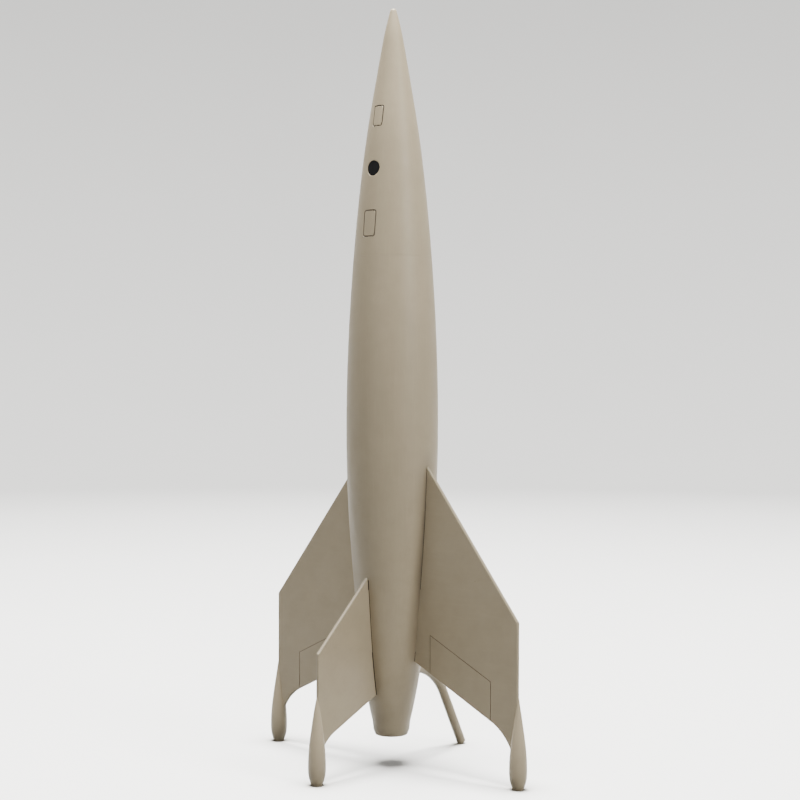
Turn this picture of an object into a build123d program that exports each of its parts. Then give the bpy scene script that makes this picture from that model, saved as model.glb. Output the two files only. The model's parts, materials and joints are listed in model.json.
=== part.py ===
from build123d import *
import os

# A finned rocket that stands on three streamlined feet and one bent leg.
# Millimetres, +Z up. The origin is on the ground, under the hull's axis.
# +X and -X hold the two large fins, -Y the small fin, and +Y the bent leg.

# ---- driving dimensions ----
TAIL_Z = 20.0  # open rear end of the hull
BELT_Z = 212.0  # glued joint between the lower and upper hull
NOSE_Z = 335.0  # the nose lifts off here
TIP_Z = 498.0
WALL = 1.6
GLUE_GAP = 0.05
ROOT_GAP = 0.45  # fine gap between a fin's root and the skin
ENGRAVE_WIDTH = 0.45
ENGRAVE_DEPTH = 0.4
BEYOND_HULL = 40.0  # further out than the skin anywhere

# Outer radius of the hull at each height, from the tail to just under the tip.
HULL_STATIONS = [
    (10.6, TAIL_Z),
    (15.0, 40.0),
    (20.2, 71.0),
    (25.1, 121.0),
    (28.7, 168.0),
    (30.25, 220.0),
    (28.15, 299.0),
    (21.8, 378.0),
    (15.2, 428.0),
    (8.4, 467.0),
]
TAIL_FLARE = 12.5  # degrees from upright, where the skin starts at the tail
TIP_FLARE = 15.5  # degrees from upright, where the skin meets the rounded tip
TIP_RADIUS = 2.2
CAVITY_TOP_Z = 466.0  # the nose is solid above this
TAIL_BORE = 12.0  # how far up the tail is bored for the motor tube
TAIL_RIM_ROUND = 0.5
COUPLER_REACH = 10.0  # each way from the belt joint
COUPLER_IN = 27.0

MOTOR_TUBE_OUT = 9.35
MOTOR_TUBE_IN = 9.0
MOTOR_TUBE_END_Z = 131.0
MOTOR_TUBE_INSET = 0.4  # from the open tail
MOTOR_RADIUS = 8.92
MOTOR_LENGTH = 70.0
MOTOR_Z = TAIL_Z + 1.0
MOTOR_TOP_Z = MOTOR_Z + MOTOR_LENGTH
MOTOR_BORE = 6.4
PRESS_GAP = 0.02
NOZZLE_HEIGHT = 8.0
NOZZLE_EXIT = 3.6
NOZZLE_THROAT = 1.6
NOZZLE_THROAT_Z = MOTOR_Z + 4.0
GRAIN_LENGTH = 30.0
DELAY_LENGTH = 18.0
CAP_LENGTH = 4.0
THRUST_RING_IN = 6.5
THRUST_RING_LENGTH = 6.0

RING_THICK = 3.0
REAR_RING_Z = 72.0
FRONT_RING_Z = 121.0
RECOVERY_TUBE_OUT = 20.8
RECOVERY_TUBE_IN = 20.25

FIN_THICK = 2.2
FIN_EDGE_ROUND = 0.8
TAB_LOW_Z = 77.0
TAB_HIGH_Z = 118.0
TAB_LENGTH = 19.0
TIP_CORNER = 1.5
HEEL_LET_IN = 1.2  # how far the trailing edge's end stands inside the foot
LARGE_REACH = 102.8
SMALL_REACH = 73.0
FOOT_RADIUS = 5.67
FOOT_FLAT = 3.1  # radius of the flat that a foot stands on

STRUT_RADIUS = 3.1
STRUT_Z = 60.5
STRUT_START_Y = 9.65
STRUT_HOLE_Y = 8.0
STRUT_BEND_Y = 19.0  # the leg leaves the hull level and starts to bend here
STRUT_BEND_RADIUS = 41.0
STRUT_SLOPE = 61.5  # degrees below level, at the ground
STRUT_END_Y = 76.3
SOCKET_BACK_Y = 7.5
SOCKET_WIDTH = 10.0
SOCKET_DEPTH = 7.0
SOCKET_HEIGHT = 12.0

LUG_OUT = 2.4
LUG_IN = 2.0
LUG_ANGLE = 135.0
LUG_STANDOFF = 0.8
LUG_LOW_Z = 190.0
LUG_HIGH_Z = 250.0
LUG_PAD_DEPTH = 6.0
LUG_PAD_WIDTH = 3.0
LUG_PAD_INSET = 3.0

PORTHOLE_Z = 391.8
PORTHOLE_RADIUS = 5.0
LENS_BACK_Y = 17.9  # distance of the window's inner face from the axis
LENS_THICK = 1.5
BEZEL_BACK_Y = 14.5
BEZEL_OUT = 6.6
BEZEL_IN = 4.2
HATCHES = ((426.2, 7.4, 13.2), (355.9, 9.4, 16.8))  # middle height, width, height
HATCH_CORNER = 1.2

NOSE_GAP = 0.05
WEIGHT_Z = 440.0
SHOULDER_OUT = 20.17
SHOULDER_IN = 18.6
SHOULDER_DROP = 25.0
SHOULDER_RISE = 3.0
BULKHEAD_Z = NOSE_Z - 4.0
BULKHEAD_THICK = 3.0
EYE_WIRE = 1.0
EYE_RADIUS = 3.6
EYE_STEM = 7.0  # above the bulkhead's lower face
WASHER_RADIUS = 3.0
WASHER_THICK = 0.5
NUT_FLAT = 2.0  # from the middle to a flat
NUT_THICK = 1.8

WADDING_RADIUS = 18.5
WADDING_TOP_Z = 164.0
CANOPY_RADIUS = 17.5
CANOPY_LOW_Z = 165.0
CANOPY_TOP_Z = 236.0
ANCHOR_LOW_Z = 280.0
ANCHOR_HIGH_Z = 304.0
ANCHOR_THICK = 1.25
ANCHOR_WIDTH = 16.0

os.makedirs("parts", exist_ok=True)


def save(part, name):
    part.label = name
    export_step(part, f"parts/{name}.step")


def hull_body(inset, z_low, z_high):
    """The hull's solid of revolution, inset from the skin, between two heights."""
    tip_centre = (0, TIP_Z - TIP_RADIUS)
    with BuildPart() as body:
        with BuildSketch(Plane.XZ):
            with BuildLine():
                tip = CenterArc(tip_centre, TIP_RADIUS - inset, TIP_FLARE, 90 - TIP_FLARE)
                skin = Spline(
                    *[(radius - inset, z) for radius, z in HULL_STATIONS],
                    tip @ 0,
                    tangents=[Vector(0, 1).rotate(Axis.Z, -TAIL_FLARE), tip % 0],
                )
                Polyline(tip @ 1, (0, TAIL_Z), skin @ 0)
            make_face()
        revolve(axis=Axis.Z)
        if z_high < TIP_Z:
            split(bisect_by=Plane.XY.offset(z_high), keep=Keep.BOTTOM)
        if z_low > TAIL_Z:
            split(bisect_by=Plane.XY.offset(z_low), keep=Keep.TOP)
    return body.part


def tube(outer, inner, z_low, z_high):
    """A straight tube on the hull's axis."""
    with BuildPart() as part:
        with BuildSketch(Plane.XY.offset(z_low)):
            Circle(outer)
            Circle(inner, mode=Mode.SUBTRACT)
        extrude(amount=z_high - z_low)
    return part.part


def plug(radius, z_low, z_high):
    """A solid round plug on the hull's axis."""
    with BuildPart() as part:
        with BuildSketch(Plane.XY.offset(z_low)):
            Circle(radius)
        extrude(amount=z_high - z_low)
    return part.part


# ---- hull ----
fin_slot = TAB_HIGH_Z - TAB_LOW_Z + 2 * GLUE_GAP
tab_middle_z = (TAB_HIGH_Z + TAB_LOW_Z) / 2

with BuildPart() as hull_lower:
    add(hull_body(0, TAIL_Z, BELT_Z))
    add(hull_body(WALL, TAIL_Z, BELT_Z), mode=Mode.SUBTRACT)
    add(plug(MOTOR_TUBE_OUT + GLUE_GAP, TAIL_Z, TAIL_Z + TAIL_BORE), mode=Mode.SUBTRACT)
    rim = hull_lower.edges().group_by(Axis.Z)[0].sort_by(SortBy.RADIUS)[-1]
    fillet(rim, radius=TAIL_RIM_ROUND)
    for angle in (0, 180, 270):
        with Locations(Location((0, 0, tab_middle_z), (0, 0, angle))):
            Box(
                BEYOND_HULL,
                FIN_THICK + 2 * GLUE_GAP,
                fin_slot,
                align=(Align.MIN, Align.CENTER, Align.CENTER),
                mode=Mode.SUBTRACT,
            )
    with BuildSketch(Plane.XZ.offset(-BEYOND_HULL)):
        with Locations((0, STRUT_Z)):
            Circle(STRUT_RADIUS + GLUE_GAP)
    extrude(amount=BEYOND_HULL - STRUT_HOLE_Y, mode=Mode.SUBTRACT)
save(hull_lower.part, "hull_lower")

with BuildPart() as hull_upper:
    add(hull_body(0, BELT_Z, NOSE_Z))
    add(hull_body(WALL, BELT_Z, NOSE_Z), mode=Mode.SUBTRACT)
save(hull_upper.part, "hull_upper")

with BuildPart() as hull_coupler:
    add(hull_body(WALL + GLUE_GAP, BELT_Z - COUPLER_REACH, BELT_Z + COUPLER_REACH))
    Cylinder(COUPLER_IN, 3 * BELT_Z, mode=Mode.SUBTRACT)
save(hull_coupler.part, "hull_coupler")


# ---- tubes and rings inside the hull ----
motor_tube = tube(MOTOR_TUBE_OUT, MOTOR_TUBE_IN, TAIL_Z + MOTOR_TUBE_INSET, MOTOR_TUBE_END_Z)
save(motor_tube, "motor_tube")
thrust_ring_top_z = MOTOR_TOP_Z + THRUST_RING_LENGTH
thrust_ring = tube(MOTOR_TUBE_IN - PRESS_GAP, THRUST_RING_IN, MOTOR_TOP_Z, thrust_ring_top_z)
save(thrust_ring, "thrust_ring")
recovery_low_z = FRONT_RING_Z + RING_THICK
save(tube(RECOVERY_TUBE_OUT, RECOVERY_TUBE_IN, recovery_low_z, NOSE_Z), "recovery_tube")

with BuildPart() as centering_ring_rear:
    add(hull_body(WALL + GLUE_GAP, REAR_RING_Z, REAR_RING_Z + RING_THICK))
    Cylinder(MOTOR_TUBE_OUT, 2 * FRONT_RING_Z, mode=Mode.SUBTRACT)
save(centering_ring_rear.part, "centering_ring_rear")

with BuildPart() as centering_ring_front:
    add(hull_body(WALL + GLUE_GAP, FRONT_RING_Z, FRONT_RING_Z + RING_THICK))
    Cylinder(MOTOR_TUBE_OUT, 2 * MOTOR_TUBE_END_Z, mode=Mode.SUBTRACT)
save(centering_ring_front.part, "centering_ring_front")

middle_ring_z = BELT_Z - RING_THICK / 2
middle_ring = tube(COUPLER_IN, RECOVERY_TUBE_OUT, middle_ring_z, middle_ring_z + RING_THICK)
save(middle_ring, "centering_ring_middle")

with BuildPart() as centering_ring_top:
    add(hull_body(WALL + GLUE_GAP, NOSE_Z - RING_THICK, NOSE_Z))
    Cylinder(RECOVERY_TUBE_OUT, 2 * NOSE_Z, mode=Mode.SUBTRACT)
save(centering_ring_top.part, "centering_ring_top")


# ---- fins and feet ----
def fin_plate(lead_inner, reach, tip_z, heel_z, trail_bend, trail_inner, elevon):
    """A swept plate in the XZ plane, towards +X, with a tab that reaches the motor tube.

    lead_inner and trail_inner are where the edges' lines start, inside the hull. The
    trailing edge curves down from trail_bend to the foot. elevon is the engraved line.
    """
    heel = (reach - FOOT_RADIUS + HEEL_LET_IN, heel_z)
    tail_run = (trail_bend[0] - trail_inner[0], trail_bend[1] - trail_inner[1])
    with BuildPart() as plate:
        with BuildSketch(Plane.XZ) as outline:
            with BuildLine():
                Polyline(heel, (reach, heel_z), (reach, tip_z), lead_inner, trail_inner, trail_bend)
                TangentArc(trail_bend, heel, tangent=tail_run)
            make_face()
            fillet(outline.vertices().sort_by_distance((reach, 0, tip_z))[0], radius=TIP_CORNER)
        extrude(amount=FIN_THICK / 2, both=True)
        sides = plate.faces().filter_by(Axis.Y)
        rounded = sides.edges().filter_by(lambda edge: edge.center().X > lead_inner[0] + 1)
        fillet(rounded, radius=FIN_EDGE_ROUND)
        add(hull_body(-ROOT_GAP, TAIL_Z, NOSE_Z), mode=Mode.SUBTRACT)
        with BuildSketch(Plane.XZ):
            with Locations((MOTOR_TUBE_OUT + GLUE_GAP, tab_middle_z)):
                Rectangle(
                    TAB_LENGTH, TAB_HIGH_Z - TAB_LOW_Z, align=(Align.MIN, Align.CENTER)
                )
        extrude(amount=FIN_THICK / 2, both=True)
        for side in (-1, 1):
            if elevon:
                with BuildSketch(Plane.XZ.offset(side * FIN_THICK / 2)):
                    with BuildLine():
                        Polyline(*elevon)
                    trace(line_width=ENGRAVE_WIDTH)
                extrude(amount=-side * ENGRAVE_DEPTH, mode=Mode.SUBTRACT)
    return plate.part


def foot(reach, top_z, fin):
    """A slim teardrop that the fin's tip is let into."""
    with BuildPart() as body:
        with BuildSketch(Plane.XZ):
            with BuildLine():
                base = Line((reach, 0), (reach + FOOT_FLAT, 0))
                toe = Spline(
                    base @ 1,
                    (reach + 0.86 * FOOT_RADIUS, 4.2),
                    (reach + FOOT_RADIUS, 13.0),
                    (reach + 0.86 * FOOT_RADIUS, 26.0),
                    (reach + 0.61 * FOOT_RADIUS, 37.0),
                    (reach + 0.33 * FOOT_RADIUS, 47.5),
                    (reach + 0.3, top_z),
                )
                Polyline(toe @ 1, (reach, top_z), (reach, 0))
            make_face()
        revolve(axis=Axis((reach, 0, 0), (0, 0, 1)))
        add(fin, mode=Mode.SUBTRACT)
    return body.part


large_elevon = [(33.4, 56.0), (33.4, 89.0), (82.1, 64.9), (82.1, 32.0)]
large_fin = fin_plate((20.0, 211.8), LARGE_REACH, 104.2, 22.0, (81.8, 39.8), (12.0, 74.2), large_elevon)
large_foot = foot(LARGE_REACH, 58.0, large_fin)
small_fin = fin_plate((16.0, 135.2), SMALL_REACH, 82.8, 21.5, (57.0, 31.0), (10.0, 51.0), None)
small_foot = foot(SMALL_REACH, 55.5, small_fin)

for side, turn in (("right", 0), ("left", 180)):
    save(large_fin.rotate(Axis.Z, turn), f"fin_{side}")
    save(large_foot.rotate(Axis.Z, turn), f"foot_{side}")
save(small_fin.rotate(Axis.Z, 270), "fin_front")
save(small_foot.rotate(Axis.Z, 270), "foot_front")


# ---- bent rear leg ----
with BuildPart() as rear_strut:
    # the leg's end is cut square, and its lowest edge meets the ground
    slope = Vector(1, 0).rotate(Axis.Z, -STRUT_SLOPE)
    end_z = STRUT_RADIUS * slope.X
    corner_y = STRUT_END_Y + (STRUT_Z - end_z) * slope.X / slope.Y
    with BuildLine(Plane.YZ):
        stub = Line((STRUT_START_Y, STRUT_Z), (STRUT_BEND_Y, STRUT_Z))
        FilletPolyline(
            stub @ 1,
            (corner_y, STRUT_Z),
            (STRUT_END_Y, end_z),
            radius=STRUT_BEND_RADIUS,
        )
    with BuildSketch(Plane(origin=(0, STRUT_START_Y, STRUT_Z), z_dir=(0, 1, 0))):
        Circle(STRUT_RADIUS)
    sweep()
save(rear_strut.part, "rear_strut")

with BuildPart() as strut_socket:
    with Locations((0, SOCKET_BACK_Y, STRUT_Z)):
        Box(
            SOCKET_WIDTH,
            SOCKET_DEPTH,
            SOCKET_HEIGHT,
            align=(Align.CENTER, Align.MIN, Align.CENTER),
        )
    Cylinder(MOTOR_TUBE_OUT + GLUE_GAP, 2 * FRONT_RING_Z, mode=Mode.SUBTRACT)
    with BuildSketch(Plane(origin=(0, 0, STRUT_Z), z_dir=(0, 1, 0))):
        Circle(STRUT_RADIUS + GLUE_GAP)
    extrude(amount=BEYOND_HULL, mode=Mode.SUBTRACT)
save(strut_socket.part, "strut_socket")


# ---- launch lug, at the hull's widest ----
lug_axis = Plane.XY.rotated((0, 0, LUG_ANGLE))
widest_radius = max(radius for radius, _ in HULL_STATIONS)
lug_radius = widest_radius + LUG_STANDOFF + LUG_OUT

with BuildPart() as launch_lug:
    with BuildSketch(lug_axis.offset(LUG_LOW_Z)):
        with Locations((lug_radius, 0)):
            Circle(LUG_OUT)
            Circle(LUG_IN, mode=Mode.SUBTRACT)
    extrude(amount=LUG_HIGH_Z - LUG_LOW_Z)
save(launch_lug.part, "launch_lug")

with BuildPart() as lug_pad:
    with BuildSketch(lug_axis.offset(LUG_LOW_Z + LUG_PAD_INSET)):
        with Locations((lug_radius, 0)):
            Rectangle(LUG_PAD_DEPTH, LUG_PAD_WIDTH, align=(Align.MAX, Align.CENTER))
            Circle(LUG_OUT + GLUE_GAP, mode=Mode.SUBTRACT)
    extrude(amount=LUG_HIGH_Z - LUG_LOW_Z - 2 * LUG_PAD_INSET)
    add(hull_body(-GLUE_GAP, TAIL_Z, NOSE_Z), mode=Mode.SUBTRACT)
save(lug_pad.part, "lug_pad")


# ---- nose ----
with BuildPart() as hatch_lines:
    with BuildSketch(Plane.XZ):
        for middle_z, width, height in HATCHES:
            with Locations((0, middle_z)):
                RectangleRounded(
                    width + ENGRAVE_WIDTH,
                    height + ENGRAVE_WIDTH,
                    HATCH_CORNER + ENGRAVE_WIDTH / 2,
                )
                RectangleRounded(
                    width - ENGRAVE_WIDTH,
                    height - ENGRAVE_WIDTH,
                    HATCH_CORNER - ENGRAVE_WIDTH / 2,
                    mode=Mode.SUBTRACT,
                )
    extrude(amount=BEYOND_HULL)
    add(hull_body(ENGRAVE_DEPTH, BELT_Z, CAVITY_TOP_Z), mode=Mode.SUBTRACT)

with BuildPart() as nose_shell:
    add(hull_body(0, NOSE_Z + NOSE_GAP, TIP_Z))
    add(hull_body(WALL, NOSE_Z + NOSE_GAP, CAVITY_TOP_Z), mode=Mode.SUBTRACT)
    add(hatch_lines.part, mode=Mode.SUBTRACT)
    with BuildSketch(Plane.XZ):
        with Locations((0, PORTHOLE_Z)):
            Circle(PORTHOLE_RADIUS)
    extrude(amount=BEYOND_HULL, mode=Mode.SUBTRACT)
save(nose_shell.part, "nose_shell")

with BuildPart() as porthole_bezel:
    with BuildSketch(Plane.XZ.offset(BEZEL_BACK_Y)):
        with Locations((0, PORTHOLE_Z)):
            Circle(BEZEL_OUT)
            Circle(BEZEL_IN, mode=Mode.SUBTRACT)
    extrude(amount=LENS_BACK_Y - BEZEL_BACK_Y)
    add(hull_body(WALL + GLUE_GAP, NOSE_Z, CAVITY_TOP_Z), mode=Mode.INTERSECT)
save(porthole_bezel.part, "porthole_bezel")

with BuildPart() as porthole_lens:
    with BuildSketch(Plane.XZ.offset(LENS_BACK_Y)):
        with Locations((0, PORTHOLE_Z)):
            Circle(PORTHOLE_RADIUS - GLUE_GAP)
    extrude(amount=LENS_THICK)
save(porthole_lens.part, "porthole_lens")

save(hull_body(WALL + GLUE_GAP, WEIGHT_Z, CAVITY_TOP_Z - NOSE_GAP), "nose_weight")

with BuildPart() as nose_shoulder:
    add(hull_body(WALL + GLUE_GAP, NOSE_Z, NOSE_Z + SHOULDER_RISE))
    add(plug(SHOULDER_OUT, NOSE_Z - SHOULDER_DROP, NOSE_Z + SHOULDER_RISE))
    Cylinder(SHOULDER_IN, 3 * NOSE_Z, mode=Mode.SUBTRACT)
save(nose_shoulder.part, "nose_shoulder")

eye_hole = EYE_WIRE + GLUE_GAP
washer_z = BULKHEAD_Z + BULKHEAD_THICK
save(tube(SHOULDER_IN - PRESS_GAP, eye_hole, BULKHEAD_Z, washer_z), "nose_bulkhead")

eye_z = BULKHEAD_Z - BULKHEAD_THICK - EYE_RADIUS
with BuildPart() as eye_bolt:
    with Locations(Location((0, 0, eye_z), (90, 0, 0))):
        Torus(EYE_RADIUS, EYE_WIRE)
    add(plug(EYE_WIRE, eye_z + EYE_RADIUS, BULKHEAD_Z + EYE_STEM))
save(eye_bolt.part, "eye_bolt")

nut_z = washer_z + WASHER_THICK
save(tube(WASHER_RADIUS, eye_hole, washer_z, nut_z), "eye_washer")
with BuildPart() as eye_nut:
    with BuildSketch(Plane.XY.offset(nut_z)):
        RegularPolygon(NUT_FLAT, 6, major_radius=False)
        Circle(eye_hole, mode=Mode.SUBTRACT)
    extrude(amount=NUT_THICK)
save(eye_nut.part, "eye_nut")


# ---- recovery gear, stowed in the tube ----
def soft_roll(radius, z_low, z_high, rounding):
    """A plain soft roll with rounded ends."""
    with BuildPart() as roll:
        add(plug(radius, z_low, z_high))
        fillet(roll.edges(), radius=rounding)
    return roll.part


save(soft_roll(WADDING_RADIUS, MOTOR_TUBE_END_Z + 1, WADDING_TOP_Z, 6.0), "recovery_wadding")
save(soft_roll(CANOPY_RADIUS, CANOPY_LOW_Z, CANOPY_TOP_Z, 4.0), "parachute_pack")

anchor_out = RECOVERY_TUBE_IN - GLUE_GAP
with BuildPart() as cord_anchor_pad:
    add(tube(anchor_out, anchor_out - ANCHOR_THICK, ANCHOR_LOW_Z, ANCHOR_HIGH_Z))
    with Locations((-anchor_out, 0, (ANCHOR_LOW_Z + ANCHOR_HIGH_Z) / 2)):
        Box(anchor_out, ANCHOR_WIDTH, ANCHOR_HIGH_Z - ANCHOR_LOW_Z, mode=Mode.INTERSECT)
save(cord_anchor_pad.part, "cord_anchor_pad")


# ---- rocket motor ----
grain_z = MOTOR_Z + NOZZLE_HEIGHT
delay_z = grain_z + GRAIN_LENGTH
cap_z = delay_z + DELAY_LENGTH
filling = MOTOR_BORE - PRESS_GAP
save(tube(MOTOR_RADIUS, MOTOR_BORE, MOTOR_Z, MOTOR_TOP_Z), "motor_casing")

with BuildPart() as motor_nozzle:
    with BuildSketch(Plane.XZ):
        with BuildLine():
            Polyline(
                (NOZZLE_EXIT, MOTOR_Z),
                (filling, MOTOR_Z),
                (filling, grain_z),
                (NOZZLE_THROAT, grain_z),
                (NOZZLE_THROAT, NOZZLE_THROAT_Z),
                close=True,
            )
        make_face()
    revolve(axis=Axis.Z)
save(motor_nozzle.part, "motor_nozzle")

save(plug(filling, grain_z, delay_z), "propellant_grain")
save(plug(filling, delay_z, cap_z), "delay_grain")
save(plug(filling, cap_z, cap_z + CAP_LENGTH), "motor_cap")
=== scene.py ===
import json
import math

import bmesh
import bpy
import numpy as np
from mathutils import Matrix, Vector, noise


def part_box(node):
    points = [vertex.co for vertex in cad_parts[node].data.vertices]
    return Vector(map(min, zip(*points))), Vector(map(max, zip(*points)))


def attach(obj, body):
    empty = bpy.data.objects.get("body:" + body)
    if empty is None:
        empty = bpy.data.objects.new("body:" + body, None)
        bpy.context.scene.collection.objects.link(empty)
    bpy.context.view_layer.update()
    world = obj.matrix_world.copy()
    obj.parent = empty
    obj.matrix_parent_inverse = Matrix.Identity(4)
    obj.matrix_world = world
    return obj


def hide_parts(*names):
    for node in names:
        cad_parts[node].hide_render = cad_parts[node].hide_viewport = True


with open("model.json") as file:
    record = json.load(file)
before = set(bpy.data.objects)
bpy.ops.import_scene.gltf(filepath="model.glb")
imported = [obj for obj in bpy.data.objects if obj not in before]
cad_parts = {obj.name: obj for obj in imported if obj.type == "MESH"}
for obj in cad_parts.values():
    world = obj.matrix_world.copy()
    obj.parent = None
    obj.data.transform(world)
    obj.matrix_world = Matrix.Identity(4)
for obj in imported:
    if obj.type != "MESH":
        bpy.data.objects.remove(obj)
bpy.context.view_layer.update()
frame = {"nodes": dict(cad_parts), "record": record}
nodes = frame["nodes"]

MM = 0.001

# ---- camera: nearly level, and far enough off to flatten the view ----
CAMERA_AZIMUTH = math.radians(39.5)  # from -Y towards +X
CAMERA_DISTANCE = 1073 * MM
CAMERA_HEIGHT = 265.3 * MM
CAMERA_SIDE_STEP = 5.0 * MM
CAMERA_PITCH = math.radians(1.29)  # below level
CAMERA_ROLL = math.radians(-0.17)
LENS = 73.2
SENSOR = 36
CLIP_START = 0.01


def add_camera():
    camera = bpy.data.objects.new("camera", bpy.data.cameras.new("camera"))
    camera.data.lens = LENS
    camera.data.sensor_width = SENSOR
    camera.data.clip_start = CLIP_START
    away = Vector((math.sin(CAMERA_AZIMUTH), -math.cos(CAMERA_AZIMUTH), 0))
    right = Vector((math.cos(CAMERA_AZIMUTH), math.sin(CAMERA_AZIMUTH), 0))
    camera.location = away * CAMERA_DISTANCE + right * CAMERA_SIDE_STEP
    camera.location.z = CAMERA_HEIGHT
    camera.rotation_euler = (math.pi / 2 - CAMERA_PITCH, CAMERA_ROLL, CAMERA_AZIMUTH)
    bpy.context.scene.collection.objects.link(camera)
    bpy.context.scene.camera = camera


# ---- light and floor ----
# name, azimuth counted like the camera's, height, distance, size, watts, colour, height it aims at
LIGHTS = (
    ("key_light", 90, 0.9, 1.5, 0.5, 21, (1.0, 0.99, 0.95), 0.25),
    ("fill_light", 2, 0.8, 2.2, 1.4, 6.9, (1.0, 0.99, 0.97), 0.2),
    ("back_light", 215, 1.1, 1.8, 1.2, 2.0, (0.97, 0.98, 1.0), 0.25),
    ("top_light", 0, 3.0, 0.001, 1.1, 540, (1.0, 0.99, 0.97), 0.0),
)
FLOOR_GLOW = (0.20, 0.195, 0.18, 1)  # what a pale floor throws back from below
AIR = (0.05, 0.055, 0.06, 1)  # dim air above
GLOW_TO_AIR = (-0.25, 0.15)  # the rise, as a sine, over which one turns into the other


def area_light(name, azimuth, height, distance, size, power, colour, aim_z):
    """A square soft light."""
    light = bpy.data.lights.new(name, "AREA")
    light.size = size
    light.energy = power
    light.color = colour
    lamp = bpy.data.objects.new(name, light)
    angle = math.radians(azimuth)
    lamp.location = (distance * math.sin(angle), -distance * math.cos(angle), height)
    aim = Vector((0, 0, aim_z)) - lamp.location
    lamp.rotation_euler = aim.to_track_quat("-Z", "Y").to_euler()
    bpy.context.scene.collection.objects.link(lamp)


def add_studio():
    for light in LIGHTS:
        area_light(*light)
    world = bpy.data.worlds.new("studio_air")
    bpy.context.scene.world = world
    world.use_nodes = True
    parts, links = world.node_tree.nodes, world.node_tree.links
    way = parts.new("ShaderNodeTexCoord")
    split = parts.new("ShaderNodeSeparateXYZ")
    links.new(way.outputs["Generated"], split.inputs[0])
    rise = parts.new("ShaderNodeMapRange")
    links.new(split.outputs["Z"], rise.inputs["Value"])
    rise.inputs["From Min"].default_value, rise.inputs["From Max"].default_value = GLOW_TO_AIR
    blend = parts.new("ShaderNodeMix")
    blend.data_type = "RGBA"
    links.new(rise.outputs["Result"], blend.inputs["Factor"])
    blend.inputs["A"].default_value = FLOOR_GLOW
    blend.inputs["B"].default_value = AIR
    links.new(blend.outputs["Result"], parts["Background"].inputs["Color"])


# ---- node helpers ----
class Graph:
    """Short ways to add shader nodes to one material."""

    def __init__(self, name):
        self.material = bpy.data.materials.new(name)
        self.material.use_nodes = True
        self.nodes = self.material.node_tree.nodes
        self.links = self.material.node_tree.links
        self.shader = self.nodes["Principled BSDF"]
        self.place = self.nodes.new("ShaderNodeTexCoord").outputs["Object"]

    def wire(self, value, socket):
        if hasattr(value, "is_output"):
            self.links.new(value, socket)
        else:
            socket.default_value = value

    def stretch(self, scale):
        node = self.nodes.new("ShaderNodeMapping")
        self.wire(self.place, node.inputs["Vector"])
        node.inputs["Scale"].default_value = scale
        return node.outputs["Vector"]

    def noise(self, scale, detail=3.0, rough=0.5, vector=None, seed=0.0):
        node = self.nodes.new("ShaderNodeTexNoise")
        node.noise_dimensions = "4D"
        node.inputs["W"].default_value = seed
        self.wire(vector or self.place, node.inputs["Vector"])
        node.inputs["Scale"].default_value = scale
        node.inputs["Detail"].default_value = detail
        node.inputs["Roughness"].default_value = rough
        return node.outputs["Fac"]

    def cells(self, scale, vector=None, feature="F1"):
        node = self.nodes.new("ShaderNodeTexVoronoi")
        node.feature = feature
        self.wire(vector or self.place, node.inputs["Vector"])
        node.inputs["Scale"].default_value = scale
        return node

    def remap(self, value, low, high, to_low, to_high):
        node = self.nodes.new("ShaderNodeMapRange")
        self.wire(value, node.inputs["Value"])
        node.inputs["From Min"].default_value = low
        node.inputs["From Max"].default_value = high
        node.inputs["To Min"].default_value = to_low
        node.inputs["To Max"].default_value = to_high
        return node.outputs["Result"]

    def math(self, operation, a, b=0.0):
        node = self.nodes.new("ShaderNodeMath")
        node.operation = operation
        self.wire(a, node.inputs[0])
        self.wire(b, node.inputs[1])
        return node.outputs["Value"]

    def mix(self, factor, a, b, blend="MIX"):
        node = self.nodes.new("ShaderNodeMix")
        node.data_type = "RGBA"
        node.blend_type = blend
        self.wire(factor, node.inputs["Factor"])
        self.wire(a, node.inputs["A"])
        self.wire(b, node.inputs["B"])
        return node.outputs["Result"]

    def bump(self, height, distance, strength=1.0, normal=None):
        node = self.nodes.new("ShaderNodeBump")
        self.wire(height, node.inputs["Height"])
        node.inputs["Distance"].default_value = distance
        node.inputs["Strength"].default_value = strength
        if normal is not None:
            self.wire(normal, node.inputs["Normal"])
        return node.outputs["Normal"]

    def finish(self, colour, roughness, normal=None):
        self.wire(colour, self.shader.inputs["Base Color"])
        self.wire(roughness, self.shader.inputs["Roughness"])
        if normal is not None:
            self.wire(normal, self.shader.inputs["Normal"])
        return self.material


def shade(colour, factor):
    return tuple(channel * factor for channel in colour[:3]) + (1.0,)


# ---- materials ----
PRIMER_SHINE = 0.32
CRISP = 28  # degrees between faces above which an edge stays sharp
# where the large fins' engraved lines run, out from the hull's axis and up, and the painted shade
# in their grooves
ELEVON_IN = 33.4 * MM
ELEVON_OUT = 82.1 * MM
ELEVON_TOP_IN = 89.0 * MM
ELEVON_TOP_OUT = 64.9 * MM
ELEVON_HALF = 0.26 * MM
ELEVON_DARK = 0.75
# painted shade on the fins' upper edges, by how far their faces turn upwards
UPTURN_FACING = (0.15, 0.45)
UPTURN_SHADE_DARK = 0.62
# painted shade: a dark strip on the skin under each fin's root, standing in for the shadow in the
# gap between fin and hull
LARGE_ROOT_HALF = 1.0 * MM
SMALL_ROOT_HALF = 1.6 * MM
LARGE_ROOT = (70.5 * MM, 197.0 * MM)
SMALL_ROOT = (48.5 * MM, 124.5 * MM)
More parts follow.
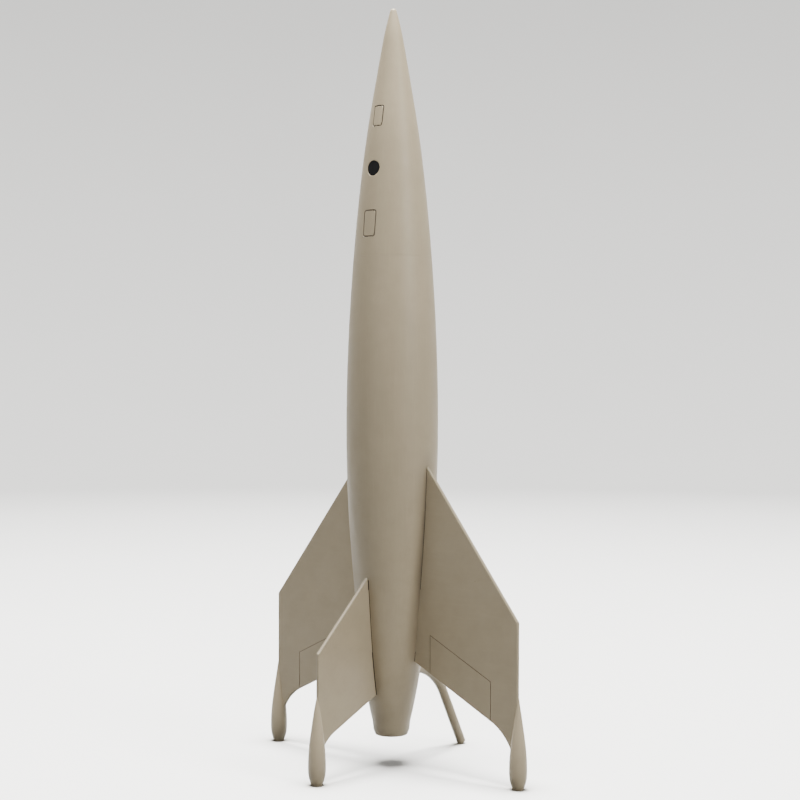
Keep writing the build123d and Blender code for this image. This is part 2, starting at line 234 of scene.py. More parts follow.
# painted shade: the hull darkens softly towards the corner between a large fin and the hull
ROOT_SHADE_FROM = 11 * MM
ROOT_SHADE_TO = 0.6 * MM
ROOT_SHADE_TOP = (212 * MM, 185 * MM)
ROOT_SHADE_LOW = (62 * MM, 120 * MM)
ROOT_SHADE_POWER = 1.5
ROOT_SHADE_MOST = 0.85
ROOT_SHADE_DARK = 0.42
MARK_SHADE = 0.16  # how dark the painted shade is: in the grooves, on the porthole's bore, in the fin-root gaps and on the upturned fin edges


def axes(g):
    """The object's own x, y and z, in metres."""
    split = g.nodes.new("ShaderNodeSeparateXYZ")
    g.wire(g.place, split.inputs[0])
    return split.outputs["X"], split.outputs["Y"], split.outputs["Z"]


def within(g, value, low, high):
    above = g.math("GREATER_THAN", value, low)
    return g.math("MULTIPLY", above, g.math("LESS_THAN", value, high))


def near_line(g, value, middle, half):
    """White on a line, fading over the outer third of its half width."""
    off = g.math("ABSOLUTE", g.math("SUBTRACT", value, middle))
    return g.remap(off, half, 0.66 * half, 0, 1)


def elevon_lines(g):
    """White along the engraved lines of both large fins."""
    x, _, z = axes(g)
    out = g.math("ABSOLUTE", x)
    slope = (ELEVON_TOP_OUT - ELEVON_TOP_IN) / (ELEVON_OUT - ELEVON_IN)
    hinge = g.math("ADD", g.math("MULTIPLY", out, slope), ELEVON_TOP_IN - slope * ELEVON_IN)
    top = near_line(g, g.math("SUBTRACT", z, hinge), 0.0, ELEVON_HALF * math.hypot(1, slope))
    reach = within(g, out, ELEVON_IN - ELEVON_HALF, ELEVON_OUT + ELEVON_HALF)
    top = g.math("MULTIPLY", top, reach)
    ends = g.math(
        "MAXIMUM",
        near_line(g, out, ELEVON_IN, ELEVON_HALF),
        near_line(g, out, ELEVON_OUT, ELEVON_HALF),
    )
    below = g.math("LESS_THAN", g.math("SUBTRACT", z, hinge), 0.0)
    return g.math("MAXIMUM", top, g.math("MULTIPLY", ends, below))


def root_gap_shade(g):
    """White on the hull's skin just under the three fins' roots, where painted shade stands in for
    the shadow in the root gaps.
    """
    x, y, z = axes(g)
    large = g.math("LESS_THAN", g.math("ABSOLUTE", y), LARGE_ROOT_HALF)
    large = g.math("MULTIPLY", large, within(g, z, *LARGE_ROOT))
    small = g.math("LESS_THAN", g.math("ABSOLUTE", x), SMALL_ROOT_HALF)
    small = g.math("MULTIPLY", small, g.math("LESS_THAN", y, 0.0))
    small = g.math("MULTIPLY", small, within(g, z, *SMALL_ROOT))
    return g.math("MAXIMUM", large, small)


def soft_root_shade(g):
    """How much painted shade lies on the hull beside the large fins, nought to its most."""
    _, y, z = axes(g)
    beside = g.remap(g.math("ABSOLUTE", y), ROOT_SHADE_FROM, ROOT_SHADE_TO, 0, 1)
    beside = g.math("POWER", beside, ROOT_SHADE_POWER)
    beside = g.math("MULTIPLY", beside, g.remap(z, *ROOT_SHADE_LOW, 0, 1))
    return g.math("MULTIPLY", beside, g.remap(z, *ROOT_SHADE_TOP, 0, ROOT_SHADE_MOST))


def primer(name, colour, grain=(1, 1, 1), seed=0.0, marks=None, soft_shade=None):
    """Sprayed primer: faint cloudiness, orange peel, sanding marks along grain, and pinholes.

    marks returns a mask of the places painted in deep shade: engraved grooves, the porthole's
    bore, fin-root gaps and upturned fin edges.
    The second mask returns where a soft painted shade lies beside the large fins.
    """
    g = Graph(name)
    cloud = g.noise(14, 4, 0.55, seed=seed)
    mottle = g.noise(95, 4, 0.6, seed=seed + 3)
    sanding = g.noise(1.0, 3, 0.6, g.stretch(grain), seed + 7)
    base = g.mix(g.remap(cloud, 0.3, 0.7, 0, 1), shade(colour, 0.94), shade(colour, 1.05))
    base = g.mix(g.remap(mottle, 0.42, 0.72, 0, 0.5), base, shade(colour, 0.88))
    base = g.mix(g.remap(sanding, 0.5, 0.8, 0, 0.4), base, shade(colour, 1.12))
    pits = g.cells(85)
    speck = g.math("LESS_THAN", pits.outputs["Distance"], 0.035)
    rare = g.math("GREATER_THAN", g.noise(21, 1, 0.5, seed=seed + 11), 0.56)
    speck = g.math("MULTIPLY", speck, rare)
    base = g.mix(g.math("MULTIPLY", speck, 0.5), base, shade(colour, 0.45))
    # painted shade: a soft darkening on the hull beside the large fins' roots
    if soft_shade:
        base = g.mix(soft_shade(g), base, shade(colour, ROOT_SHADE_DARK))
    # painted shade: grooves, the porthole's bore, fin-root gaps and upturned fin edges darkened in
    # the colour
    if marks:
        base = g.mix(marks(g), base, shade(colour, MARK_SHADE))
    roughness = g.remap(g.noise(60, 4, 0.6, seed=seed + 5), 0.3, 0.7, 0.42, 0.56)
    roughness = g.math("ADD", roughness, g.remap(sanding, 0.4, 0.7, -0.04, 0.05))
    peel = g.bump(g.noise(1500, 2, 0.5, seed=seed + 2), 0.05 * MM, 0.35)
    scratched = g.bump(sanding, 0.04 * MM, 0.3, peel)
    wavy = g.bump(g.noise(38, 2, 0.5, seed=seed + 9), 0.30 * MM, 0.3, scratched)
    pitted = g.bump(g.math("SUBTRACT", 1.0, speck), 0.08 * MM, 0.6, wavy)
    g.shader.inputs["Specular IOR Level"].default_value = PRIMER_SHINE
    return g.finish(base, roughness, pitted)


def hull_painted_shade(g):
    """Painted shade in the engraved hatches and the porthole's bore, and on the skin under the
    fins' roots.
    """
    engraved = g.nodes.new("ShaderNodeAttribute")
    engraved.attribute_name = "engraved"
    # painted shade in the grooves and on the porthole's bore, by each point's share
    lines = g.remap(engraved.outputs["Fac"], 0.05, 0.5, 0, 0.92)
    return g.math("MAXIMUM", lines, root_gap_shade(g))


def fin_painted_shade(g):
    """Painted shade in the engraved grooves, and on the upper edges, darker the more they face up.
    """
    facing = g.nodes.new("ShaderNodeSeparateXYZ")
    g.wire(g.nodes.new("ShaderNodeNewGeometry").outputs["Normal"], facing.inputs[0])
    # painted shade on faces that turn up, most on the upper edges
    edge = g.remap(facing.outputs["Z"], *UPTURN_FACING, 0, UPTURN_SHADE_DARK)
    return g.math("MAXIMUM", g.math("MULTIPLY", elevon_lines(g), ELEVON_DARK), edge)


FLOOR_PAPER = (0.8, 0.8, 0.79)
# what stands on the floor takes its light away close by
CONTACT_REACH = 26 * MM
CONTACT_RANGE = (0.30, 0.97)  # from all closed in to all open
CONTACT_TINT = (0.30, 0.27, 0.22, 1)


def floor_material():
    """Matt pale paper, the same all over but darker close to what it carries."""
    g = Graph("floor_paper")
    paper = g.noise(3, 3, 0.5)
    base = g.mix(paper, shade(FLOOR_PAPER, 1.0), shade(FLOOR_PAPER, 0.96))
    near = g.nodes.new("ShaderNodeAmbientOcclusion")
    near.samples = 8
    near.inputs["Distance"].default_value = CONTACT_REACH
    closed = g.remap(near.outputs["AO"], *CONTACT_RANGE, 1.0, 0.0)
    base = g.mix(closed, base, CONTACT_TINT, "MULTIPLY")
    g.shader.inputs["Specular IOR Level"].default_value = 0.0
    return g.finish(base, 0.8)


def plywood(name):
    """Thin birch ply: long grain on the faces, glue lines on the cut edge."""
    g = Graph(name)
    grain = g.noise(1.0, 5, 0.6, g.stretch((40, 900, 900)), 1)
    base = g.mix(grain, (0.62, 0.45, 0.26, 1), (0.74, 0.58, 0.37, 1))
    plies = g.nodes.new("ShaderNodeTexWave")
    plies.bands_direction = "Z"
    g.wire(g.place, plies.inputs["Vector"])
    plies.inputs["Scale"].default_value = 160
    base = g.mix(g.remap(plies.outputs["Fac"], 0.75, 1, 0, 0.35), base, (0.30, 0.18, 0.09, 1))
    return g.finish(base, g.remap(grain, 0.3, 0.7, 0.55, 0.75), g.bump(grain, 0.1 * MM, 0.4))


def wound_paper(name, light, dark, pitch=26 * MM):
    """Spirally wound kraft paper: a seam that climbs the tube, and fine fibres."""
    g = Graph(name)
    split = g.nodes.new("ShaderNodeSeparateXYZ")
    g.wire(g.place, split.inputs[0])
    turn = g.math("ARCTAN2", split.outputs["Y"], split.outputs["X"])
    turns = g.math("DIVIDE", turn, 2 * math.pi)
    climb = g.math("DIVIDE", split.outputs["Z"], pitch)
    phase = g.math("FRACT", g.math("ADD", turns, climb))
    seam = g.math("LESS_THAN", phase, 0.02)
    fibre = g.noise(1.0, 5, 0.65, g.stretch((1500, 1500, 300)), 2)
    base = g.mix(fibre, dark, light)
    base = g.mix(g.math("MULTIPLY", seam, 0.55), base, shade(dark, 0.5))
    height = g.math("SUBTRACT", fibre, seam)
    return g.finish(base, g.remap(fibre, 0.3, 0.7, 0.6, 0.8), g.bump(height, 0.08 * MM, 0.5))


def grained(name, colour, scale, low, high, rough, depth=0.05 * MM, metal=0.0):
    """A plain material with a fine grain in its tone, gloss and surface."""
    g = Graph(name)
    grain = g.noise(scale, 5, 0.6, seed=3)
    coarse = g.noise(scale / 12, 3, 0.5, seed=8)
    base = g.mix(grain, shade(colour, low), shade(colour, high))
    base = g.mix(g.remap(coarse, 0.4, 0.7, 0, 0.3), base, shade(colour, low * 0.9))
    g.shader.inputs["Metallic"].default_value = metal
    roughness = g.remap(coarse, 0.3, 0.7, rough - 0.08, rough + 0.08)
    return g.finish(base, roughness, g.bump(grain, depth, 0.4))


def shade_black_glass(name):
    """A window with faint smears, near black: its colour is painted shade standing in for the dark
    inside behind the porthole.
    """
    g = Graph(name)
    smear = g.noise(160, 3, 0.6, seed=4)
    # painted shade: the near-black stands in for the dark inside
    base = g.mix(smear, (0.0015, 0.0015, 0.002, 1), (0.004, 0.004, 0.005, 1))
    g.shader.inputs["Specular IOR Level"].default_value = 0.12
    return g.finish(base, g.remap(smear, 0.3, 0.7, 0.30, 0.42), g.bump(smear, 0.01 * MM, 0.2))


def ripstop(name, colour):
    """Thin nylon: a fine weave with a heavier thread every 5 mm."""
    g = Graph(name)
    uv = g.nodes.new("ShaderNodeUVMap").outputs["UV"]
    split = g.nodes.new("ShaderNodeSeparateXYZ")
    g.wire(uv, split.inputs[0])

    def threads(axis, count, share):
        cell = g.math("FRACT", g.math("MULTIPLY", split.outputs[axis], count))
        return g.math("LESS_THAN", cell, share)

    rips = g.math("MAXIMUM", threads("X", 200, 0.12), threads("Y", 200, 0.12))
    weave = g.math("ADD", threads("X", 2500, 0.5), threads("Y", 2500, 0.5))
    crease = g.noise(120, 4, 0.6, seed=6)
    base = g.mix(crease, shade(colour, 0.8), shade(colour, 1.1))
    base = g.mix(g.math("MULTIPLY", rips, 0.5), base, shade(colour, 0.6))
    height = g.math("ADD", g.math("MULTIPLY", weave, 0.2), rips)
    g.shader.inputs["Sheen Weight"].default_value = 0.25
    normal = g.bump(height, 0.04 * MM, 0.5, g.bump(crease, 0.6 * MM, 0.5))
    return g.finish(base, g.remap(crease, 0.3, 0.7, 0.45, 0.6), normal)


def tissue(name):
    """Soft crumpled paper with sharp creases."""
    g = Graph(name)
    fibre = g.noise(900, 5, 0.7, seed=5)
    base = g.mix(fibre, (0.70, 0.67, 0.58, 1), (0.86, 0.83, 0.75, 1))
    folds = g.cells(180, feature="DISTANCE_TO_EDGE").outputs["Distance"]
    g.shader.inputs["Subsurface Weight"].default_value = 0.1
    g.shader.inputs["Subsurface Scale"].default_value = 1 * MM
    return g.finish(base, 0.85, g.bump(folds, 0.8 * MM, 0.6, g.bump(fibre, 0.05 * MM, 0.4)))


def dress(name, material):
    """Gives a CAD node its material, with smooth curved faces and crisp corners."""
    mesh = nodes[name].data
    mesh.materials.clear()
    mesh.materials.append(material)
    mesh.shade_smooth()
    mesh.set_sharp_from_angle(angle=math.radians(CRISP))


def add_mesh(name, vertices, faces, material, sharp=CRISP):
    """A new piece, smooth but for the edges sharper than the angle given in degrees."""
    mesh = bpy.data.meshes.new(name)
    mesh.from_pydata([tuple(v) for v in vertices], [], faces)
    mesh.validate()
    mesh.materials.append(material)
    mesh.shade_smooth()
    mesh.set_sharp_from_angle(angle=math.radians(sharp))
    piece = bpy.data.objects.new(name, mesh)
    bpy.context.scene.collection.objects.link(piece)
    return piece


FLOOR_FLAT = 2.4
FLOOR_BEND = 1.3
FLOOR_TOP = 3.0


def add_floor():
    """A plain pale floor that sweeps up into a wall, the same all round."""
    flat, bend, steps, sides = FLOOR_FLAT, FLOOR_BEND, 28, 96
    rings = [(flat / 6, 0.0), (flat / 2, 0.0), (flat, 0.0)]
    for i in range(1, steps + 1):
        turn = math.pi / 2 * i / steps
        rings.append((flat + bend * math.sin(turn), bend * (1 - math.cos(turn))))
    rings.append((flat + bend, FLOOR_TOP))
    vertices = [(0, 0, 0)]
    for radius, z in rings:
        for j in range(sides):
            turn = 2 * math.pi * j / sides
            vertices.append((radius * math.cos(turn), radius * math.sin(turn), z))
    faces = [(0, 1 + j, 1 + (j + 1) % sides) for j in range(sides)]
    for i in range(len(rings) - 1):
        a, b = 1 + i * sides, 1 + (i + 1) * sides
        for j in range(sides):
            k = (j + 1) % sides
            faces.append((a + j, b + j, b + k, a + k))
    floor = add_mesh("floor", vertices, faces, floor_material())
    floor.visible_shadow = False
    floor.visible_diffuse = False


# ---- the hull's skin, as clean lathed shells that follow the CAD profile ----
WALL = 1.6 * MM
HULL_NODES = ("hull_lower", "hull_upper", "nose_shell")
SPACING = 4 * MM  # between the points that the outline goes through
SPACING_AT_ENDS = 0.25 * MM
TAIL_ROUND = 0.6 * MM
BORE_GAP = 0.05 * MM


def cubic(x, y):
    """A smooth curve through the points, as a function, straight at its two ends."""
    n = len(x)
    h = np.diff(x)
    a = np.zeros((n, n))
    b = np.zeros(n)
    a[0, 0] = a[-1, -1] = 1
    for i in range(1, n - 1):
        a[i, i - 1 : i + 2] = h[i - 1], 2 * (h[i - 1] + h[i]), h[i]
        b[i] = 6 * ((y[i + 1] - y[i]) / h[i] - (y[i] - y[i - 1]) / h[i - 1])
    m = np.linalg.solve(a, b)

    def at(t):
        i = np.clip(np.searchsorted(x, t) - 1, 0, n - 2)
        u, v = (x[i + 1] - t) / h[i], (t - x[i]) / h[i]
        bend = ((u**3 - u) * m[i] + (v**3 - v) * m[i + 1]) * h[i] ** 2 / 6
        return u * y[i] + v * y[i + 1] + bend

    return at


def outer_profile():
    """The hull's outline, tail to tip, as functions of the distance along it."""
    points = []
    for name in HULL_NODES:
        for v in nodes[name].data.vertices:
            points.append((v.co.z, math.hypot(v.co.x, v.co.y)))
    points = sorted(set((round(z, 6), round(r, 6)) for z, r in points))
    chain = []
    for p in points:
        while len(chain) > 1:
            (z0, r0), (z1, r1) = chain[-2], chain[-1]
            if (z1 - z0) * (p[1] - r0) - (r1 - r0) * (p[0] - z0) < 0:
                break
            chain.pop()
        chain.append(p)
    spaced = [chain[0]]
    for p in chain[1:]:
        from_end = min(p[0] - chain[0][0], chain[-1][0] - p[0])
        if math.dist(p, spaced[-1]) > (SPACING_AT_ENDS if from_end < SPACING else SPACING):
            spaced.append(p)
    spaced[-1] = chain[-1]
    z, r = np.array(spaced).T
    s = np.concatenate([[0], np.cumsum(np.hypot(np.diff(z), np.diff(r)))])
    return s, cubic(s, z), cubic(s, r)


PROFILE_LENGTH, PROFILE_Z, PROFILE_R = outer_profile()


def place_at(z):
    """Distance along the outline at a height."""
    low, high = 0.0, PROFILE_LENGTH[-1]
    for _ in range(40):
        middle = (low + high) / 2
        if PROFILE_Z(middle) < z:
            low = middle
        else:
            high = middle
    return (low + high) / 2


def radius_at(z):
    return float(PROFILE_R(place_at(z)))


def lathe(name, outline, material, segments=192):
    """A closed solid of revolution from a closed outline of (radius, z)."""
    vertices, faces = [], []
    for radius, z in outline:
        for j in range(segments):
            turn = 2 * math.pi * (j + 0.5) / segments
            vertices.append((radius * math.sin(turn), -radius * math.cos(turn), z))
    rows = len(outline)
    for i in range(rows):
        a, b = i * segments, (i + 1) % rows * segments
        for j in range(segments):
            k = (j + 1) % segments
            faces.append((a + j, a + k, b + k, b + j))
    return add_mesh(name, vertices, faces, material)


def hull_outline(low, high, step=3.0 * MM):
    """Outer skin points from low to high, then the inner ones back down."""
    start, end = place_at(low), place_at(high)
    count = max(2, round((end - start) / step))
    places = np.linspace(start, end, count + 1)
    outer = [(float(PROFILE_R(s)), float(PROFILE_Z(s))) for s in places]
    inner = [(radius - WALL, z) for radius, z in reversed(outer)]
    return outer, inner


def upper_hull(material):
    """The open sleeve between the belt and the nose."""
    low, high = (corner.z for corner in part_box("hull_upper"))
    outer, inner = hull_outline(low, high)
    return lathe("hull_upper_skin", outer + inner, material)


def lower_hull(material):
    """The hull from the rounded tail, bored for the motor tube, up to the belt."""
    low, high = (corner.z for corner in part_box("hull_lower"))
    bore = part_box("motor_tube")[1].x + BORE_GAP
    round_end = low + TAIL_ROUND
    outer, inner = hull_outline(round_end, high)
    rim = []
    for s in np.linspace(0, place_at(round_end), 12)[:-1]:
        rim.append((max(bore, float(PROFILE_R(s))), float(PROFILE_Z(s))))
    rim = [(bore, low)] + [p for p in rim if p[0] > bore + BORE_GAP]
    inner = [p for p in inner if p[0] > bore]
    return lathe("hull_lower_skin", rim + outer + inner + [(bore, inner[-1][1])], material)


# ---- the nose: a grid on its skin, with lines packed where the hatches are engraved ----
HATCHES = ((426.2 * MM, 7.4 * MM, 13.2 * MM), (355.9 * MM, 9.4 * MM, 16.8 * MM))
HATCH_CORNER = 1.2 * MM
ENGRAVE_HALF = 0.42 * MM
ENGRAVE_DEPTH = 0.38 * MM
SECTOR = 7.2 * MM  # half width of the fine part of the grid, round -Y
PATCH = 6.6 * MM  # half side of the square that is cut out round the porthole
PATCH_RINGS = 7
PATCH_ROWS = 21
REST_COLUMNS = 110  # round the rest of the nose
FINE = 0.085 * MM  # grid spacing across an engraved line
COARSE_ROWS = 1.3 * MM
COARSE_COLUMNS = 0.8 * MM
NEAR_LINE = ENGRAVE_HALF + 0.1 * MM
NARROW_Z = 436 * MM  # columns converge above this, to stay on the nose
TIP_CAP = 2.0 * MM
TIP_ROWS = 9
PORT_GAP = 0.05 * MM
PORT_LIP = 0.12 * MM
PORT_ROUND = ((0.03 * MM, 0.04 * MM), (0.12 * MM, 0.0))  # sink and spread of each ring


def engraving(x, z):
    """Depth of the engraved hatch lines at a point of the skin seen from -Y."""
    depth = 0.0
    for middle, width, height in HATCHES:
        dx = abs(x) - (width / 2 - HATCH_CORNER)
        dz = abs(z - middle) - (height / 2 - HATCH_CORNER)
        outside = math.hypot(max(dx, 0), max(dz, 0)) + min(max(dx, dz), 0) - HATCH_CORNER
        if abs(outside) < ENGRAVE_HALF:
            depth = ENGRAVE_DEPTH * (1 - (outside / ENGRAVE_HALF) ** 2) ** 0.6
    return depth


def packed(marks, low, high, fine, coarse):
    """Grid lines from low to high: fine within each (from, to) of marks, coarse between."""
    lines = [low]
    while lines[-1] < high - 0.2 * fine:
        here = lines[-1] + 1e-9
        step = coarse
        for start, end in marks:
            if start <= here < end:
                step = fine
            elif here < start:
                step = min(step, max(fine, start - here))
        lines.append(min(high, here + step))
    return lines


def nose(material):
    """The nose as one closed shell, with its porthole cut through and its hatches engraved."""
    low, high = (corner.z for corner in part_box("nose_shell"))
    cavity_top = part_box("nose_weight")[1].z + 0.1 * MM
    lens_low, lens_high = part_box("porthole_lens")
    port_z = (lens_low.z + lens_high.z) / 2
    port_r = (lens_high.x - lens_low.x) / 2 + PORT_GAP

    marks_z = []
    for middle, _, height in HATCHES:
        for edge in (middle - height / 2, middle + height / 2):
            marks_z.append((edge - NEAR_LINE, edge + NEAR_LINE))
    fine_rows = packed(marks_z, low, high - TIP_CAP, FINE, COARSE_ROWS)
    rows = [z for z in fine_rows if abs(z - port_z) > PATCH + 0.3 * MM]
    rows += [port_z + PATCH * t for t in np.linspace(-1, 1, PATCH_ROWS)]
    tip = np.linspace(place_at(high - TIP_CAP), PROFILE_LENGTH[-1], TIP_ROWS)[1:-1]
    rows = sorted(rows) + [float(PROFILE_Z(s)) for s in tip]
    row_radius = [radius_at(z) for z in rows]

    widths = [width / 2 for _, width, _ in HATCHES]
    marks_x = [(min(widths) - HATCH_CORNER, max(widths) + NEAR_LINE)]
    half = packed(marks_x, 0.0, PATCH, FINE, COARSE_COLUMNS) + [SECTOR]
    columns = [-x for x in reversed(half[1:])] + half
    narrow = radius_at(NARROW_Z)

    def turns(radius):
        """The angle of every column from -Y, in a row of this radius."""
        scale = max(radius, narrow)
        sector = [math.asin(x / scale) for x in columns]
        gap = 2 * math.pi - 2 * sector[-1]
        return sector + [sector[-1] + gap * j / REST_COLUMNS for j in range(1, REST_COLUMNS)]

    # engraved holds each point's share of painted shade: by the grooves' depth, and full on the
    # porthole's bore
    vertices, faces, engraved = [], [], {}
    count = len(columns) + REST_COLUMNS - 1
    port_columns = [j for j, x in enumerate(columns) if abs(x) <= PATCH + 1e-9]
    port_rows = [i for i, z in enumerate(rows) if abs(z - port_z) <= PATCH + 1e-9]
    c0, c1, r0, r1 = port_columns[0], port_columns[-1], port_rows[0], port_rows[-1]

    def shell(inset, top):
        """One skin, outside or inside: its lowest row, highest row and porthole edge."""
        flip = inset > 0
        first = len(vertices)
        used = [i for i, z in enumerate(rows) if z <= top]
        for i in used:
            for x_turn in turns(row_radius[i]):
                radius = row_radius[i] - inset
                x = radius * math.sin(x_turn)
                if not flip and math.cos(x_turn) > 0:
                    depth = engraving(x, rows[i])
                    radius -= depth
                    engraved[len(vertices)] = depth / ENGRAVE_DEPTH
                y = -radius * math.cos(x_turn)
                vertices.append((radius * math.sin(x_turn), y, rows[i]))

        def at(i, j):
            return first + i * count + j % count

        def quad(*corners):
            faces.append(tuple(reversed(corners)) if flip else corners)

        for i in used[:-1]:
            for j in range(count):
                if not (r0 <= i < r1 and c0 <= j < c1):
                    quad(at(i, j), at(i, j + 1), at(i + 1, j + 1), at(i + 1, j))

        loop = [at(r0, j) for j in range(c0, c1)] + [at(i, c1) for i in range(r0, r1)]
        loop += [at(r1, j) for j in range(c1, c0, -1)] + [at(i, c0) for i in range(r1, r0, -1)]
        corners = [vertices[k] for k in loop]
        for ring in range(1, PATCH_RINGS + 1):
            share = ring / PATCH_RINGS
            following = []
            for x, _, z in corners:
                angle = math.atan2(z - port_z, x)
                reach = port_r + (0 if flip else PORT_LIP)
                goal = (reach * math.cos(angle), port_z + reach * math.sin(angle))
                px = x + (goal[0] - x) * share
                pz = z + (goal[1] - z) * share
                radius = radius_at(pz) - inset
                following.append(len(vertices))
                vertices.append((px, -math.sqrt(radius**2 - px**2), pz))
            for k in range(len(loop)):
                n = (k + 1) % len(loop)
                quad(loop[k], loop[n], following[n], following[k])
            loop = following
        bottom = [at(0, j) for j in range(count)]
        top_row = [at(used[-1], j) for j in range(count)]
        return bottom, top_row, loop

    outer_low, outer_high, outer_port = shell(0.0, high)
    inner_low, inner_high, inner_port = shell(WALL, cavity_top)
    for j in range(count):
        k = (j + 1) % count
        faces.append((outer_low[k], outer_low[j], inner_low[j], inner_low[k]))
    tip_point, roof = len(vertices), len(vertices) + 1
    vertices.append((0, 0, high))
    vertices.append((0, 0, vertices[inner_high[0]][2]))
    for j in range(count):
        k = (j + 1) % count
        faces.append((outer_high[j], outer_high[k], tip_point))
        faces.append((inner_high[k], inner_high[j], roof))

    # the porthole's edge is slightly rounded, then goes straight in
    loop = outer_port
    for sink, spread in PORT_ROUND:
        following = []
        for k in outer_port:
            x, y, z = vertices[k]
            angle = math.atan2(z - port_z, x)
            reach = port_r + spread
            following.append(len(vertices))
            # the porthole's bore, past its rounded edge, is painted in shade
            engraved[len(vertices)] = 0.0 if spread else 1.0
            x, z = reach * math.cos(angle), port_z + reach * math.sin(angle)
            vertices.append((x, y + sink, z))
        for k in range(len(loop)):
            n = (k + 1) % len(loop)
            faces.append((loop[k], loop[n], following[n], following[k]))
        loop = following
    for k in range(len(loop)):
        n = (k + 1) % len(loop)
        engraved[inner_port[k]] = 1.0
        faces.append((loop[k], loop[n], inner_port[n], inner_port[k]))
    skin = add_mesh("nose_skin", vertices, faces, material, sharp=50)
    mark = skin.data.attributes.new("engraved", "FLOAT", "POINT")
    for k, share in engraved.items():
        mark.data[k].value = share
    return skin


# ---- what is packed inside: a rolled canopy, and tissue wads under it ----
CANOPY_AREA = 0.1315
ROLL_TURNS = 31
ROLL_CORE = 2.2 * MM
ROLL_CLEAR = 0.4 * MM
ROLL_STEPS = 44  # round one turn
ROLL_ROWS = 18
FOLD_INSET = 2.2 * MM  # the folded edges wander this far in from the roll's ends
FOLD_WANDER = 1.6 * MM
WADS = 3
WAD_CLEAR = 0.3 * MM
WAD_SIZE = 0.78


def canopy_roll(material):
    """The folded canopy as one long strip, rolled up, with uneven folded edges."""
    low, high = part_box("parachute_pack")
    reach, tall = high.x - ROLL_CLEAR, high.z - low.z
    around, up = ROLL_STEPS * ROLL_TURNS, ROLL_ROWS
    vertices, faces, places = [], [], []
    for i in range(around + 1):
        share = i / around
        turns = share * ROLL_TURNS
        angle = 2 * math.pi * turns
        spiral = ROLL_CORE + (reach - ROLL_CORE) * share
        wander = FOLD_WANDER * noise.noise(Vector((1.1 * turns, 3.0, 0)))
        edge_low = low.z + FOLD_INSET + wander
        wander = FOLD_WANDER * noise.noise(Vector((1.3 * turns, 9.0, 0)))
        edge_high = high.z - FOLD_INSET + wander
        for j in range(up + 1):
            t = j / up
            lean = Vector((0.6 * math.cos(angle), 0.6 * math.sin(angle), 2.5 * t))
            squash = 0.94 + 0.05 * noise.noise(lean) + 0.015 * noise.noise(lean * 4)
            squash -= 0.10 * abs(2 * t - 1) ** 5
            radius = spiral * min(1.0, squash)
            z = edge_low + (edge_high - edge_low) * t
            vertices.append((radius * math.cos(angle), radius * math.sin(angle), z))
            places.append((share * CANOPY_AREA / tall, t * tall))
    for i in range(around):
        for j in range(up):
            a = i * (up + 1) + j
            faces.append((a, a + up + 1, a + up + 2, a + 1))
    roll = add_mesh("canopy_roll", vertices, faces, material, sharp=60)
    uv = roll.data.uv_layers.new(name="UVMap")
    for loop in roll.data.loops:
        uv.data[loop.index].uv = places[loop.vertex_index]
    return roll


def tissue_wads(material):
    """Crumpled wads, one on another."""
    low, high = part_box("recovery_wadding")
    reach = high.x - WAD_CLEAR
    around, up = 72, 36
    tall = (high.z - low.z) / WADS
    vertices, faces = [], []
    for wad in range(WADS):
        middle = low.z + tall * (wad + 0.5)
        first = len(vertices)
        for i in range(up + 1):
            tilt = math.pi * i / up
            for j in range(around):
                turn = 2 * math.pi * j / around
                level = math.sin(tilt)
                way = Vector((level * math.cos(turn), level * math.sin(turn), math.cos(tilt)))
                here = way * 2.2 + Vector((0, 0, 7.0 * wad))
                crease = abs(noise.noise(here)) + 0.6 * abs(noise.noise(here * 2.3))
                crease += 0.3 * abs(noise.noise(here * 5.1))
                size = min(1.0, WAD_SIZE + 0.45 * crease)
                square = 1 / max(math.hypot(way.x, way.y), abs(way.z), 0.75)
                size *= min(1.0, WAD_SIZE * square)
                spot = way * size
                vertices.append((spot.x * reach, spot.y * reach, middle + spot.z * tall / 2))
        for i in range(up):
            for j in range(around):
                k = (j + 1) % around
                a, b = first + i * around, first + (i + 1) * around
                faces.append((a + j, b + j, b + k, a + k))
    wadding = add_mesh("tissue_wads", vertices, faces, material, sharp=70)
    shape = bmesh.new()
    shape.from_mesh(wadding.data)
    bmesh.ops.remove_doubles(shape, verts=shape.verts, dist=1e-7)
    shape.to_mesh(wadding.data)
    shape.free()
    return wadding


add_camera()
add_studio()
add_floor()

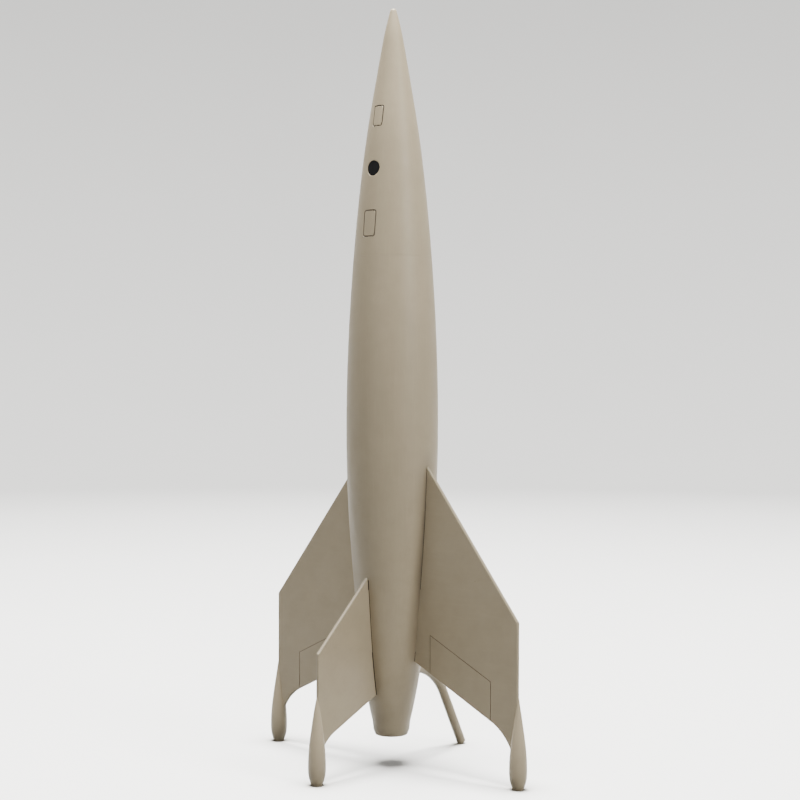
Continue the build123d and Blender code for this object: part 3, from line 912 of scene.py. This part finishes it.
PRIMER = (0.36, 0.30, 0.205)
hull_primer = primer("hull_primer", PRIMER, (700, 700, 40), marks=hull_painted_shade, soft_shade=soft_root_shade)
fin_primer = primer("fin_primer", PRIMER, (60, 700, 420), 20, fin_painted_shade)
foot_primer = primer("foot_primer", PRIMER, (500, 500, 60), 40)
birch = plywood("birch_ply")
kraft = wound_paper("kraft_tube", (0.60, 0.45, 0.29, 1), (0.42, 0.30, 0.18, 1))
motor_paper = wound_paper("motor_paper", (0.66, 0.56, 0.42, 1), (0.50, 0.41, 0.29, 1), 40 * MM)
styrene = grained("shoulder_plastic", (0.55, 0.53, 0.48), 900, 0.92, 1.05, 0.45)
zinc = grained("zinc_steel", (0.62, 0.62, 0.60), 700, 0.8, 1.1, 0.32, 0.01 * MM, 1.0)
ballast = grained("weight_metal", (0.22, 0.22, 0.23), 250, 0.7, 1.2, 0.6, 0.1 * MM, 0.9)
clay = grained("nozzle_clay", (0.55, 0.52, 0.48), 500, 0.85, 1.1, 0.85, 0.1 * MM)
grain_black = grained("propellant", (0.06, 0.06, 0.06), 900, 0.6, 1.5, 0.8, 0.1 * MM)
grain_grey = grained("delay_mix", (0.25, 0.24, 0.23), 900, 0.8, 1.2, 0.85, 0.1 * MM)
card = grained("anchor_card", (0.74, 0.70, 0.60), 700, 0.92, 1.05, 0.8)
painted_shade_lens = shade_black_glass("black_lens")

FINISHES = {
    "hull_primer": hull_primer,
    "fin_primer": fin_primer,
    "foot_primer": foot_primer,
    "strut_primer": foot_primer,
    "lug_primer": foot_primer,
    "plywood": birch,
    "card_tube": kraft,
    "shoulder_plastic": styrene,
    "zinc_steel": zinc,
    "weight_metal": ballast,
    "black_lens": painted_shade_lens,
    "motor_card": motor_paper,
    "nozzle_clay": clay,
    "propellant": grain_black,
    "delay_mix": grain_grey,
    "anchor_card": card,
}
for part in frame["record"]["subparts"]:
    dress(part["node"], FINISHES.get(part["material_slot"], hull_primer))

for build, node, body in (
    (lower_hull, "hull_lower", "airframe"),
    (upper_hull, "hull_upper", "airframe"),
    (nose, "nose_shell", "nose"),
):
    skin = build(hull_primer)
    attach(skin, body)
    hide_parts(node)

roll = canopy_roll(ripstop("ripstop_nylon", (0.75, 0.22, 0.05)))
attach(roll, "airframe")
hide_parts("parachute_pack")

wads = tissue_wads(tissue("wadding_tissue"))
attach(wads, "airframe")
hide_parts("recovery_wadding")
